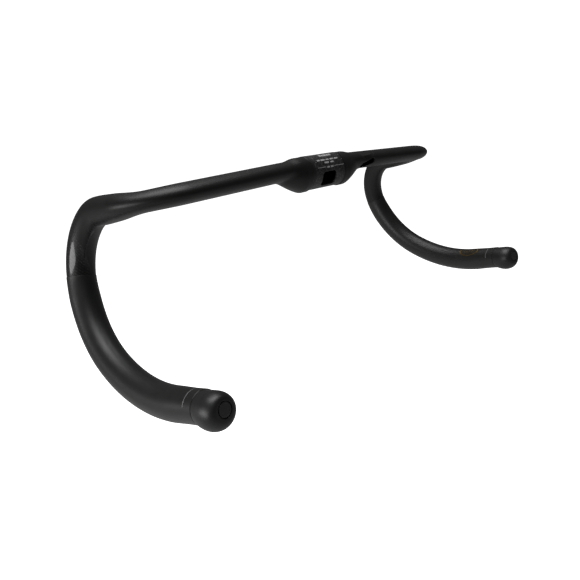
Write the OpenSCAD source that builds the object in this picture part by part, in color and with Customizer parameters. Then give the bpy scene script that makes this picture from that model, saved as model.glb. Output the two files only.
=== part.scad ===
// Drop handlebar for a road bicycle: a moulded carbon bar with oval tops, flared drops and
// expanding end plugs. Millimetres. Origin at the centre of the stem clamp zone, +X to the
// rider's right, +Y forwards, +Z up.

/* [Clamp zone] */
// Diameter that the stem clamps
clamp_d = 31.8; // [31.7:0.05:31.9]
// Length of the grip-textured zone
clamp_len = 43; // [40:1:48]
// Width of the cable window along the bar
window_w = 19; // [12:1:20]
// Height of the cable window round the bar
window_h = 14; // [10:1:15]
// Corner radius of the cable window
window_r = 4; // [2:0.5:4.5]
// Angle of the window below the rear of the bar
window_angle = 24; // [15:1:40]

/* [Tops] */
// Distance from the centre to the start of the blend from round to oval
blend_start = 29; // [26:1:32]
// Length of that blend
blend_len = 27; // [20:1:36]
// Height of the oval's centre above the clamp axis, at the end of the blend
top_rise = 4.4; // [3:0.1:7]
// How far the oval's centre drops again by the corner
top_fall = 2.8; // [0:0.1:5]
// Distance from the centre to the start of the corner
top_end = 150; // [140:1:160]
// Chord of the oval beside the clamp zone
chord_inner = 25; // [22:1:30]
// Chord of the oval at the corner
chord_outer = 33; // [28:1:36]
// Thickness of the oval beside the clamp zone
thick_inner = 17.3; // [15:0.1:18]
// Thickness of the oval at the corner
thick_outer = 17; // [15:0.1:18]
// Nose-down pitch of the oval
top_pitch = 4; // [0:0.5:8]
// Length of the cable slot in the right top
slot_len = 19; // [16:1:26]
// Width of the cable slot in the right top
slot_w = 7; // [5:0.1:8]

/* [Corners and ramps] */
// Distance from the centre to the lever zone's centreline at the corner
half_width = 188.8; // [180:0.2:195]
// Outward angle of the ramp
toe_out = 7.1; // [0:0.1:10]
// Downward slope of the ramp
ramp_slope = 9.4; // [0:0.2:14]
// Length of the ramp between the corner and the hook
ramp_len = 30; // [24:1:36]

/* [Hooks and drops] */
// Outward lean of the hook, seen from the front
flare = 13.5; // [0:0.1:20]
// Radius of the hook's first bend
bend1_r = 30; // [26:1:36]
// Angle of the hook's first bend
bend1_a = 24; // [18:1:30]
// Radius of the hook's second bend
bend2_r = 50.4; // [46:0.2:58]
// Angle of the hook's second bend
bend2_a = 80.2; // [74:0.2:92]
// Share of the second bend that belongs to the lever zone
bend2_split = 0.89; // [0.7:0.01:0.92]
// Radius of the upper part of the drop
drop_bend_r = 101.4; // [90:0.2:140]
// Angle of the upper part of the drop
drop_bend_a = 46.6; // [40:0.2:52]
// Radius of the lower part of the drop
low_bend_r = 153.6; // [120:0.2:180]
// Angle of the lower part of the drop
low_bend_a = 35.3; // [25:0.1:40]
// Length of the straight end
end_len = 29.2; // [28:0.1:40]
// Tube diameter in the lever zone
lever_d = 24.2; // [23.8:0.1:24.6]
// Tube diameter in the drop
drop_d = 25.8; // [25:0.1:26.4]
// Tube diameter at the mouth
end_d = 24.4; // [23.8:0.1:24.8]
// Length of the taper from the drop to the mouth's diameter
taper_len = 18; // [10:1:24]
// Wall of the moulded tube
wall = 2; // [1.8:0.1:2.4]
// Bore that the end plug sits in
plug_bore_d = 20.4; // [20:0.1:20.8]

/* [Splice sleeves] */
// Length of each bonded splice sleeve
splice_len = 14; // [10:1:16]
// Wall of each splice sleeve
splice_wall = 1.4; // [1:0.1:2]
// Glue gap round each splice sleeve
glue_gap = 0.15; // [0.1:0.05:0.3]

/* [End plugs] */
// Diameter of the plug's head
head_d = 26.4; // [26:0.2:28]
// Length of the plug's head
head_len = 20.5; // [18:0.5:24]
// Distance from the mouth to the widest place of the head
belly_z = 10; // [6:0.5:12]
// How far the head sits below the tube's axis
head_drop = 1.6; // [0:0.1:1.6]
// Diameter of the round tip cap
tip_d = 10; // [9:0.2:11]
// Diameter of the recess for the tip cap and the bolt's head
recess_d = 11.4; // [11.2:0.2:12]
// Diameter of the expander bolt
bolt_d = 5; // [4:0.5:6]
// Pitch of the expander bolt's thread
bolt_pitch = 0.8; // [0.7:0.05:1]
// Diameter of the expander sleeve
expander_d = 20; // [19.6:0.1:20]
// Length of the expander sleeve
expander_len = 20; // [16:1:22]

/* [Hidden] */
$fn = 64;

clamp_r = clamp_d / 2;
clamp_half = clamp_len / 2;
lever_r = lever_d / 2;
drop_r = drop_d / 2;
end_r = end_d / 2;
plug_bore_r = plug_bore_d / 2;
blend_end = blend_start + blend_len;
ring_sides = 36;
top_steps = 20;
corner_steps = 9;
ramp_steps = 4;
bend1_steps = 5;
// Neighbouring bends overlap by this much and differ by this much in radius, so that they fuse.
lap = 0.3;
fuse_step = 0.15;

carbon_matt = [0.09, 0.09, 0.095];
carbon_gloss = [0.13, 0.13, 0.14];
carbon_raw = [0.18, 0.18, 0.19];
plug_rubber = [0.12, 0.12, 0.12];
dark_metal = [0.25, 0.25, 0.27];

function unit(v) = v / norm(v);
function mix(a, b, k) = a * (1 - k) + b * k;
function smooth(t) = let (k = min(max(t, 0), 1)) k * k * (3 - 2 * k);

// Right top: the centreline and half sizes [along the chord, across it] at distance x.
function blend(x) = smooth((x - blend_start) / blend_len);
function outward(x) = max(0, (x - blend_end) / (top_end - blend_end));
function top_point(x) = [x, 0, top_rise * blend(x) - top_fall * outward(x)];
function top_half(x) = [
    mix(clamp_r, mix(chord_inner, chord_outer, outward(x)) / 2, blend(x)),
    mix(clamp_r, mix(thick_inner, thick_outer, outward(x)) / 2, blend(x))
];

// Corner: one arc from the top's direction to the ramp's, in the plane that holds both.
top_dir = unit(top_point(top_end) - top_point(top_end - 1));
ramp_dir = [
    sin(toe_out) * cos(ramp_slope),
    cos(toe_out) * cos(ramp_slope),
    -sin(ramp_slope)
];
corner_a = acos(top_dir * ramp_dir);
corner_side = unit(ramp_dir - top_dir * (top_dir * ramp_dir));
corner_start = top_point(top_end);
corner_r = (half_width - corner_start.x)
    / (sin(corner_a) * top_dir.x + (1 - cos(corner_a)) * corner_side.x);
function corner_point(a) =
    corner_start + corner_r * (sin(a) * top_dir + (1 - cos(a)) * corner_side);
function corner_dir(a) = cos(a) * top_dir + sin(a) * corner_side;
ramp_start = corner_point(corner_a);
hook_start = ramp_start + ramp_len * ramp_dir;
corner_mid = [chord_outer * 0.43, thick_outer * 0.475];
function corner_half(k) = k < 0.5
    ? mix(top_half(top_end), corner_mid, 2 * k)
    : mix(corner_mid, [lever_r, lever_r], (k - 0.5) * 1.3);
ramp_half = corner_half(1);

// The hook's own plane: its x runs along the ramp, and the hook turns towards its -y.
lean = [sin(flare), 0, -cos(flare)];
hook_down = unit(lean - ramp_dir * (lean * ramp_dir));
hook_normal = cross(ramp_dir, -hook_down);
function bend1_point(a) =
    hook_start + bend1_r * (sin(a) * ramp_dir + (1 - cos(a)) * hook_down);
function bend1_dir(a) = cos(a) * ramp_dir + sin(a) * hook_down;

// Stations of the right top, each [centre, direction, half sizes].
top_stations = [
    for (i = [0 : top_steps])
        let (x = mix(clamp_half, top_end, i / top_steps))
        [top_point(x), [1, 0, 0], top_half(x)],
    for (i = [1 : corner_steps])
        let (k = i / corner_steps)
        [corner_point(k * corner_a), corner_dir(k * corner_a), corner_half(k)],
    for (i = [1 : ramp_steps])
        let (k = i / ramp_steps)
        [ramp_start + k * ramp_len * ramp_dir, ramp_dir, mix(ramp_half, [lever_r, lever_r], k)],
    for (i = [1 : bend1_steps])
        let (a = bend1_a * i / bend1_steps)
        [bend1_point(a), bend1_dir(a), [lever_r, lever_r]]
];

// One ring of points round a station, with the section shrunk by inset.
function ring(station, inset) =
    let (flat = unit(cross([0, 0, 1], station[1])))
    let (rise = cross(station[1], flat))
    let (fore = flat * cos(top_pitch) - rise * sin(top_pitch))
    let (up = flat * sin(top_pitch) + rise * cos(top_pitch))
    [for (j = [0 : ring_sides - 1])
        let (a = 360 * j / ring_sides)
        station[0] + fore * (station[2].x - inset) * cos(a) + up * (station[2].y - inset) * sin(a)];

// A hollow skin through the stations, closed by a flat ring of wall at each end.
module hollow_sweep(stations) {
    n = len(stations);
    s = ring_sides;
    inner = n * s;
    last = (n - 1) * s;
    points = [
        for (inset = [0, wall]) for (st = stations) each ring(st, inset)
    ];
    skin = [
        for (i = [0 : n - 2]) for (j = [0 : s - 1])
            let (a = i * s + j, b = i * s + (j + 1) % s)
            each [[a, a + s, b + s], [a, b + s, b]]
    ];
    bore = [for (f = skin) [f[0] + inner, f[2] + inner, f[1] + inner]];
    rims = [
        for (j = [0 : s - 1])
            let (a = j, b = (j + 1) % s)
            each [
                [a, b, b + inner], [a, b + inner, a + inner],
                [a + last, b + last + inner, b + last], [a + last, a + last + inner, b + last + inner]
            ]
    ];
    polyhedron(points, concat(skin, bore, rims), convexity = 6);
}

// Children drawn in the hook's plane.
module in_hook_plane() {
    multmatrix([
        [ramp_dir.x, -hook_down.x, hook_normal.x, hook_start.x],
        [ramp_dir.y, -hook_down.y, hook_normal.y, hook_start.y],
        [ramp_dir.z, -hook_down.z, hook_normal.z, hook_start.z]
    ]) children();
}

// Bends in that plane, each [start point, start heading, radius, angle].
function bend_centre(b) = b[0] + b[2] * [sin(b[1]), -cos(b[1])];
function bend_point(b, a) = bend_centre(b) + b[2] * [-sin(b[1] - a), cos(b[1] - a)];
lever_share = bend2_a * bend2_split;
bend1 = [[0, 0], 0, bend1_r, bend1_a];
bend2 = [bend_point(bend1, bend1_a), -bend1_a, bend2_r, lever_share];
bend2_rest = [
    bend_point(bend2, lever_share), -bend1_a - lever_share, bend2_r, bend2_a - lever_share
];
drop_bend = [
    bend_point(bend2_rest, bend2_rest[3]), -bend1_a - bend2_a, drop_bend_r, drop_bend_a
];
low_bend = [
    bend_point(drop_bend, drop_bend_a), -bend1_a - bend2_a - drop_bend_a, low_bend_r, low_bend_a
];
end_start = bend_point(low_bend, low_bend_a);
end_heading = -bend1_a - bend2_a - drop_bend_a - low_bend_a;

// The angle along a bend that a given arc length covers.
function arc_angle(length, r) = length / r * 180 / PI;

// A bent tube that follows bend b from angle a1 to angle a2 along it.
module bent_tube(b, a1, a2, outer_r, inner_r) {
    translate([each bend_centre(b), 0])
        rotate([0, 0, b[1] + 90 - a2])
        rotate_extrude(angle = a2 - a1)
        translate([b[2], 0])
        difference() {
            circle(outer_r);
            circle(inner_r);
        }
}

// A straight tube along +Z with a bore.
module tube(length, outer_r, inner_r) {
    difference() {
        cylinder(h = length, r = outer_r);
        translate([0, 0, -1])
            cylinder(h = length + 2, r = inner_r);
    }
}

// Children drawn about the tube's mouth, with +Z out of the bore.
module at_mouth() {
    in_hook_plane()
        translate([each end_start, 0])
        rotate([0, 0, end_heading])
        translate([end_len, 0, 0])
        rotate([0, 90, 0])
        children();
}

// A slot with round ends, its length along x.
module slot(length, width) {
    square([length - width, width], center = true);
    for (x = [-1, 1])
        translate([x * (length - width) / 2, 0])
            circle(width / 2);
}

// A rectangle with round corners, w along x and h along y.
module rounded_rect(w, h, r) {
    square([w - 2 * r, h], center = true);
    square([w, h - 2 * r], center = true);
    for (x = [-1, 1], y = [-1, 1])
        translate([x * (w / 2 - r), y * (h / 2 - r)])
            circle(r);
}

module left_side() {
    mirror([1, 0, 0]) children();
}

module clamp_section() {
    color(carbon_raw)
        difference() {
            rotate([0, 90, 0])
                translate([0, 0, -clamp_half])
                tube(clamp_len, clamp_r, clamp_r - wall);
            rotate([90 + window_angle, 0, 0])
                linear_extrude(clamp_d)
                rounded_rect(window_w, window_h, window_r);
        }
}

module plain_top() {
    hollow_sweep(top_stations);
}

module left_top() {
    color(carbon_matt) left_side() plain_top();
}

module right_top() {
    slot_x = 61.8;
    slot_z = 1;
    slot_tilt = 16;
    color(carbon_matt)
        difference() {
            plain_top();
            translate([slot_x, -4, slot_z])
                rotate([90, -slot_tilt, 0])
                linear_extrude(20)
                slot(slot_len, slot_w);
        }
}

// Lever zone of the hook.
module lever_bend() {
    in_hook_plane()
        bent_tube(bend2, 0, lever_share, lever_r, lever_r - wall);
}

module left_lever_bend() {
    color(carbon_gloss) left_side() lever_bend();
}

module right_lever_bend() {
    color(carbon_gloss) lever_bend();
}

// Drop: the rest of the second bend, two long bends, and the straight end with the plug's bore.
module drop() {
    inner_r = plug_bore_r + fuse_step;
    in_hook_plane()
        union() {
            bent_tube(
                bend2_rest, 0, bend2_rest[3] + arc_angle(lap, bend2_r),
                drop_r - fuse_step, inner_r + fuse_step
            );
            bent_tube(drop_bend, 0, drop_bend_a, drop_r, inner_r);
            bent_tube(
                low_bend, -arc_angle(lap, low_bend_r), low_bend_a,
                drop_r - fuse_step, inner_r + fuse_step
            );
            translate([each end_start, 0])
                rotate([0, 0, end_heading])
                rotate([0, 90, 0])
                difference() {
                    union() {
                        translate([0, 0, -lap])
                            cylinder(h = taper_len + lap, r1 = drop_r - 2 * fuse_step, r2 = end_r);
                        translate([0, 0, taper_len])
                            cylinder(h = end_len - taper_len, r = end_r);
                    }
                    translate([0, 0, -1])
                        cylinder(h = end_len + 2, r = plug_bore_r);
                }
        }
}

module left_drop() {
    color(carbon_matt) left_side() drop();
}

module right_drop() {
    color(carbon_matt) drop();
}

// Splice sleeves, glued inside the butt joints of the moulded sections.
module centre_splice() {
    outer_r = clamp_r - wall - glue_gap;
    translate([clamp_half - splice_len / 2, 0, 0])
        rotate([0, 90, 0])
        tube(splice_len, outer_r, outer_r - splice_wall);
}

module left_centre_splice() {
    color(carbon_raw) left_side() centre_splice();
}

module right_centre_splice() {
    color(carbon_raw) centre_splice();
}

module lever_splice() {
    outer_r = lever_r - wall - glue_gap;
    inner_r = outer_r - splice_wall;
    half = splice_len / 2;
    in_hook_plane()
        union() {
            bent_tube(
                bend1, bend1_a - arc_angle(half, bend1_r), bend1_a,
                outer_r - fuse_step, inner_r - fuse_step
            );
            bent_tube(bend2, -arc_angle(lap, bend2_r), arc_angle(half, bend2_r), outer_r, inner_r);
        }
}

module left_lever_splice() {
    color(carbon_raw) left_side() lever_splice();
}

module right_lever_splice() {
    color(carbon_raw) lever_splice();
}

module drop_splice() {
    outer_r = lever_r - wall - glue_gap;
    reach = arc_angle(splice_len / 2, bend2_r);
    in_hook_plane()
        bent_tube(
            bend2, lever_share - reach, lever_share + reach, outer_r, outer_r - splice_wall
        );
}

module left_drop_splice() {
    color(carbon_raw) left_side() drop_splice();
}

module right_drop_splice() {
    color(carbon_raw) drop_splice();
}

// End plug, drawn about the tube's mouth. The head is a dome on a short spigot.
head_r = head_d / 2;
tip_r = tip_d / 2;
recess_r = recess_d / 2;
tip_thick = 2.4;
bolt_head_h = 3;
washer_h = 1;
recess_depth = tip_thick + 1 + bolt_head_h + washer_h;
rim_r = recess_r + head_drop + 0.8;
spigot_len = 6;
bolt_r = bolt_d / 2;
bolt_clear = 0.2;
seat_gap = 0.1;
expander_top = -spigot_len;
expander_r = expander_d / 2;
cone_r = 8;
cone_len = 9;
nut_gap = 0.3;
nut_len = 11;
slit_w = 1.2;
bolt_turns = 5;
nut_travel = bolt_turns * bolt_pitch;

module plug_head() {
    foot_r = end_r - head_drop + 0.5;
    difference() {
        union() {
            translate([0, head_drop, 0])
                rotate_extrude()
                polygon([
                    [0, seat_gap], [foot_r, seat_gap],
                    [head_r - 0.6, belly_z / 2], [head_r, belly_z],
                    for (a = [10 : 10 : 80])
                        [mix(rim_r, head_r, cos(a)), mix(belly_z, head_len, sin(a))],
                    [rim_r, head_len], [0, head_len]
                ]);
            translate([0, 0, -spigot_len])
                cylinder(h = spigot_len + 1, r = expander_r);
        }
        translate([0, 0, head_len - recess_depth])
            cylinder(h = recess_depth + 1, r = recess_r);
        translate([0, 0, -spigot_len - 1])
            cylinder(h = spigot_len + head_len, r = bolt_r + bolt_clear);
    }
}

module left_plug_head() {
    color(plug_rubber) left_side() at_mouth() plug_head();
}

module right_plug_head() {
    color(plug_rubber) at_mouth() plug_head();
}

// Round cap that closes the bolt's recess: a flat disc on a wider ring that grips the recess.
module tip_cap() {
    disc_h = 1.2;
    grip_h = tip_thick - disc_h;
    translate([0, 0, head_len - tip_thick]) {
        cylinder(h = tip_thick, r = tip_r);
        cylinder(h = grip_h, r = recess_r - 0.05);
    }
}

module left_tip_cap() {
    color(plug_rubber) left_side() at_mouth() tip_cap();
}

module right_tip_cap() {
    color(plug_rubber) at_mouth() tip_cap();
}

bolt_seat = head_len - recess_depth + washer_h;
bolt_end = expander_top - expander_len - nut_travel - 2;

module plug_bolt() {
    socket_af = 4;
    difference() {
        union() {
            translate([0, 0, bolt_seat + seat_gap])
                cylinder(h = bolt_head_h, r = bolt_r * 1.7);
            translate([0, 0, bolt_end])
                cylinder(h = bolt_seat - bolt_end + 0.5, r = bolt_r);
        }
        translate([0, 0, bolt_seat + 0.8])
            cylinder(h = bolt_head_h, r = socket_af / sqrt(3), $fn = 6);
    }
}

module left_plug_bolt() {
    color(dark_metal) left_side() at_mouth() plug_bolt();
}

module right_plug_bolt() {
    color(dark_metal) at_mouth() plug_bolt();
}

module bolt_washer() {
    translate([0, 0, bolt_seat - washer_h])
        tube(washer_h, bolt_r * 1.9, bolt_r + bolt_clear);
}

module left_bolt_washer() {
    color(dark_metal) left_side() at_mouth() bolt_washer();
}

module right_bolt_washer() {
    color(dark_metal) at_mouth() bolt_washer();
}

// Expander sleeve: split lengthways from its inner end, which flares inside to a cone.
module expander() {
    slit_len = expander_len - 5;
    translate([0, 0, expander_top - expander_len])
        difference() {
            cylinder(h = expander_len, r = expander_r);
            translate([0, 0, -1])
                cylinder(h = expander_len + 2, r = bolt_r + 1);
            translate([0, 0, -0.01])
                cylinder(h = cone_len, r1 = cone_r, r2 = bolt_r + 1);
            for (a = [0, 90])
                rotate([0, 0, a])
                translate([-expander_r - 1, -slit_w / 2, -1])
                cube([2 * expander_r + 2, slit_w, slit_len + 1]);
        }
}

module left_expander() {
    color(plug_rubber) left_side() at_mouth() expander();
}

module right_expander() {
    color(plug_rubber) at_mouth() expander();
}

// Wedge nut: a cone that the bolt draws into the sleeve's inner end. Its fins run in the
// sleeve's slits and stop it turning.
module wedge_nut() {
    slope = (cone_r - bolt_r - 1) / cone_len;
    tip_z = 5;
    fin_w = slit_w - 0.2;
    fin_r = expander_r - 0.8;
    nut_r = cone_r - nut_gap;
    translate([0, 0, expander_top - expander_len])
        difference() {
            union() {
                cylinder(h = tip_z, r1 = nut_r, r2 = nut_r - slope * tip_z);
                translate([0, 0, tip_z - nut_len])
                    cylinder(h = nut_len - tip_z, r = nut_r);
                for (a = [0, 90])
                    rotate([0, 0, a])
                    translate([-fin_r, -fin_w / 2, -1])
                    cube([2 * fin_r, fin_w, tip_z]);
            }
            translate([0, 0, -nut_len])
                cylinder(h = 2 * nut_len, r = bolt_r + 0.05);
        }
}

module left_wedge_nut() {
    color(dark_metal) left_side() at_mouth() wedge_nut();
}

module right_wedge_nut() {
    color(dark_metal) at_mouth() wedge_nut();
}

clamp_section();
left_top();
right_top();
left_lever_bend();
right_lever_bend();
left_drop();
right_drop();
left_centre_splice();
right_centre_splice();
left_lever_splice();
right_lever_splice();
left_drop_splice();
right_drop_splice();
left_plug_head();
right_plug_head();
left_tip_cap();
right_tip_cap();
left_plug_bolt();
right_plug_bolt();
left_bolt_washer();
right_bolt_washer();
left_expander();
right_expander();
left_wedge_nut();
right_wedge_nut();
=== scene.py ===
"""Drop handlebar: moulded carbon tops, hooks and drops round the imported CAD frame.

Lengths are millimetres until a mesh is made, and metres from there on. A right-hand piece is
shaped first, and the left-hand one is its mirror image.
"""
import math

import bmesh
import bpy
import numpy as np
from mathutils import Matrix, Vector


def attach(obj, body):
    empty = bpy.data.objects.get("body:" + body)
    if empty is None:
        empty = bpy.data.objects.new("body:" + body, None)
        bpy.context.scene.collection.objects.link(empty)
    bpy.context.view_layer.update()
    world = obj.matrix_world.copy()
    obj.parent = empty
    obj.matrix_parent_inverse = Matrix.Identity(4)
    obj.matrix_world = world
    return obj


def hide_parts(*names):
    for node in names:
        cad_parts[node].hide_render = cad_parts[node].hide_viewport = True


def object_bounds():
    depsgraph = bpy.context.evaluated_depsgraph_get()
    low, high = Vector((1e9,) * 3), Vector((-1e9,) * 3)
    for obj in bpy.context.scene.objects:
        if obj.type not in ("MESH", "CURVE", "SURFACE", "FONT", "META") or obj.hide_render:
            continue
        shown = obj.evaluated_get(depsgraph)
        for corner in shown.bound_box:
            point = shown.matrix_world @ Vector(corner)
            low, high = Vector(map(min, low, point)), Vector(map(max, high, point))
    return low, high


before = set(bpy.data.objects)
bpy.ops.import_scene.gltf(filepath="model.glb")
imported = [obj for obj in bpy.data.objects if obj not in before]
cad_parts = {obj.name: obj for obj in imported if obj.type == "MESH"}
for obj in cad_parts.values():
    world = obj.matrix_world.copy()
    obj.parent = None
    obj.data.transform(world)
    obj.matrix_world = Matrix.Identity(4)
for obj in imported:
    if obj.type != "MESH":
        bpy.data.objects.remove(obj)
cad_low, cad_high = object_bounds()

MM = 0.001
SIDES = {"left": -1, "right": 1}

# ---------------------------------------------------------------- driving dimensions, mm
CLAMP_R = 15.9
CLAMP_HALF = 21.5
WINDOW_W = 19
WINDOW_H = 14
WINDOW_CORNER = 4
WINDOW_ANGLE = math.radians(24)

TOP_END = 150
BLEND_END = 56
TOP_RISE = 4.4
TOP_FALL = 2.8
CHORD_INNER = 25
CHORD_OUTER = 33
THICK_INNER = 17.3
THICK_OUTER = 17
TOP_PITCH = math.radians(4)
SLOT_LEN = 19
SLOT_W = 5.2
SLOT_X = 61.8
SLOT_Z = 1
SLOT_TILT = math.radians(16)
PATCH_MARGIN = 3

HALF_WIDTH = 188.8
TOE_OUT = math.radians(7.1)
RAMP_SLOPE = math.radians(9.4)
RAMP_LEN = 30

FLARE = math.radians(13.5)
BEND1_R = 30
BEND1_A = math.radians(24)
BEND2_R = 50.4
BEND2_A = math.radians(80.2)
BEND2_SPLIT = 0.89
DROP_BEND_R = 101.4
DROP_BEND_A = math.radians(46.6)
LOW_BEND_R = 153.6
LOW_BEND_A = math.radians(35.3)
END_LEN = 29.2
LEVER_R = 12.1
DROP_R = 12.9
END_R = 12.2
SWELL_LEN = 24
TAPER_LEAD = 4
TAPER_LEN = 26
WALL = 2
PLUG_BORE_R = 10.2

HEAD_R = 13.2
HEAD_LEN = 20.5
BELLY_Z = 10
HEAD_DROP = 1.6
TIP_R = 5
RECESS_R = 5.7
RECESS_DEPTH = 7.4
BOLT_HOLE_R = 2.7
SPIGOT_R = 10
SPIGOT_LEN = 6


# ---------------------------------------------------------------- small maths
def unit(v):
    v = np.asarray(v, float)
    return v / np.linalg.norm(v)


def smooth(t):
    t = np.clip(t, 0, 1)
    return t * t * (3 - 2 * t)


def mix(a, b, k):
    return a * (1 - k) + b * k


# ---------------------------------------------------------------- centreline of the right side
def top_centre(x):
    """Centre of the wing's section at distance x from the clamp's middle."""
    outward = (x - BLEND_END) / (TOP_END - BLEND_END)
    return np.array([x, 0, TOP_RISE - TOP_FALL * outward])


ramp_dir = np.array([
    math.sin(TOE_OUT) * math.cos(RAMP_SLOPE),
    math.cos(TOE_OUT) * math.cos(RAMP_SLOPE),
    -math.sin(RAMP_SLOPE),
])
top_dir = unit(top_centre(TOP_END) - top_centre(TOP_END - 1))
corner_a = math.acos(top_dir @ ramp_dir)
corner_side = unit(ramp_dir - top_dir * (top_dir @ ramp_dir))
corner_start = top_centre(TOP_END)
corner_r = (HALF_WIDTH - corner_start[0]) / (
    math.sin(corner_a) * top_dir[0] + (1 - math.cos(corner_a)) * corner_side[0]
)
CORNER_LEN = corner_r * corner_a


def corner_point(a):
    return corner_start + corner_r * (math.sin(a) * top_dir + (1 - math.cos(a)) * corner_side)


def corner_heading(a):
    return math.cos(a) * top_dir + math.sin(a) * corner_side


ramp_start = corner_point(corner_a)
hook_start = ramp_start + RAMP_LEN * ramp_dir
lean = np.array([math.sin(FLARE), 0, -math.cos(FLARE)])
hook_down = unit(lean - ramp_dir * (lean @ ramp_dir))
hook_normal = np.cross(ramp_dir, -hook_down)
HOOK_BENDS = (
    (BEND1_R, BEND1_A), (BEND2_R, BEND2_A), (DROP_BEND_R, DROP_BEND_A), (LOW_BEND_R, LOW_BEND_A),
)
BEND1_LEN = BEND1_R * BEND1_A
RING_S = BEND1_LEN + BEND2_R * BEND2_A * BEND2_SPLIT
END_S = sum(r * a for r, a in HOOK_BENDS)
MOUTH_S = END_S + END_LEN


def hook_frame(s):
    """Centre, heading, direction to the bend's centre, at arc length s past the ramp."""
    point = np.zeros(2)
    heading = 0.0
    for radius, angle in HOOK_BENDS:
        turn = min(max(s, 0) / radius, angle)
        centre = point + radius * np.array([math.sin(heading), -math.cos(heading)])
        heading -= turn
        point = centre + radius * np.array([-math.sin(heading), math.cos(heading)])
        s -= radius * angle
        if s <= 0:
            break
    point = point + max(s, 0) * np.array([math.cos(heading), math.sin(heading)])
    along = math.cos(heading) * ramp_dir - math.sin(heading) * hook_down
    inward = math.sin(heading) * ramp_dir + math.cos(heading) * hook_down
    centre = hook_start + point[0] * ramp_dir - point[1] * hook_down
    return centre, along, inward


# ---------------------------------------------------------------- meshes
def mesh_object(name, points, faces, uvs=None, side=1, marks=None, sharp=35):
    """A closed solid in metres. uvs has one (u, v) for each corner of each face."""
    points = np.array(points, float) * MM
    points[:, 0] *= side
    mesh = bpy.data.meshes.new(name)
    mesh.from_pydata([tuple(p) for p in points], [], faces)
    if uvs is not None:
        layer = mesh.uv_layers.new(name="Path")
        layer.data.foreach_set("uv", np.array(uvs, np.float32).ravel())
    for mark, values in (marks or {}).items():
        attribute = mesh.attributes.new(mark, "FLOAT", "POINT")
        attribute.data.foreach_set("value", np.array(values, np.float32))
    work = bmesh.new()
    work.from_mesh(mesh)
    bmesh.ops.recalc_face_normals(work, faces=work.faces)
    for face in work.faces:
        face.smooth = True
    work.to_mesh(mesh)
    work.free()
    mesh.set_sharp_from_angle(angle=math.radians(sharp))
    obj = bpy.data.objects.new(name, mesh)
    bpy.context.scene.collection.objects.link(obj)
    return obj


def ring_faces(n, m, skip):
    """Quads between n rings of m points, as (ring, column) pairs, without the skipped ones."""
    for i in range(n - 1):
        for j in range(m):
            if (i, j) not in skip:
                yield i, j


def loft(name, rings, along, side=1, closed=True, marks=None, sharp=35):
    """Solid skin through rings of equal count. closed joins the last ring to the first;
    otherwise each end closes in a fan. along is each ring's place for the Path map, in mm."""
    rings = np.array(rings, float)
    n, m, _ = rings.shape
    points = list(rings.reshape(-1, 3))
    faces = []
    uvs = []
    last = n if closed else n - 1
    for i in range(last):
        k = (i + 1) % n
        for j in range(m):
            q = (j + 1) % m
            faces.append((i * m + j, i * m + q, k * m + q, k * m + j))
            u0, u1 = along[i] * MM, along[k] * MM
            uvs += [(u0, j / m), (u0, (j + 1) / m), (u1, (j + 1) / m), (u1, j / m)]
    if not closed:
        for i in (0, n - 1):
            centre = len(points)
            points.append(rings[i].mean(0))
            for j in range(m):
                faces.append((i * m + j, i * m + (j + 1) % m, centre))
                u = along[i] * MM
                uvs += [(u, j / m), (u, (j + 1) / m), (u, (j + 0.5) / m)]
    return mesh_object(name, points, faces, uvs, side, marks, sharp)


def rounded_rect_reach(direction, w, h, corner):
    """Distance from the centre of a rounded rectangle to its outline along a 2-D direction."""
    dx, dy = np.abs(unit(direction))
    low, high = 0.0, math.hypot(w, h)
    for _ in range(40):
        mid = (low + high) / 2
        qx = max(mid * dx - (w / 2 - corner), 0)
        qy = max(mid * dy - (h / 2 - corner), 0)
        inside = math.hypot(qx, qy) <= corner
        low, high = (mid, high) if inside else (low, mid)
    return low


class Opening:
    """A rounded hole through a wall, seen along its cutting direction."""

    def __init__(self, centre, w, h, corner, tilt, project, lift):
        self.centre = np.array(centre, float)
        self.w, self.h, self.corner, self.tilt = w, h, corner, tilt
        self.project = project
        self.lift = lift

    def edge(self, plane_point, grow):
        """Outline point, grown by some mm, on the ray from the centre to plane_point."""
        offset = plane_point - self.centre
        c, s = math.cos(self.tilt), math.sin(self.tilt)
        local = np.array([c * offset[0] + s * offset[1], -s * offset[0] + c * offset[1]])
        reach = rounded_rect_reach(
            local, self.w + 2 * grow, self.h + 2 * grow, self.corner + grow
        )
        return self.centre + unit(offset) * reach


# Loops of a hole's rim, from the skin to the lip, down the wall and out along the inside:
# (share of the way to the hole's edge, growth of that edge, depth below the skin).
RIM_LOOPS = (
    (0.5, 1.5, 0.0), (1.0, 0.9, 0.0), (1.0, 0.6, 0.03), (1.0, 0.36, 0.1), (1.0, 0.18, 0.24),
    (1.0, 0.06, 0.44), (1.0, 0.0, 0.7), (1.0, 0.0, 1.3), (1.0, 0.0, WALL), (0.5, 1.2, WALL),
)


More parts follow.
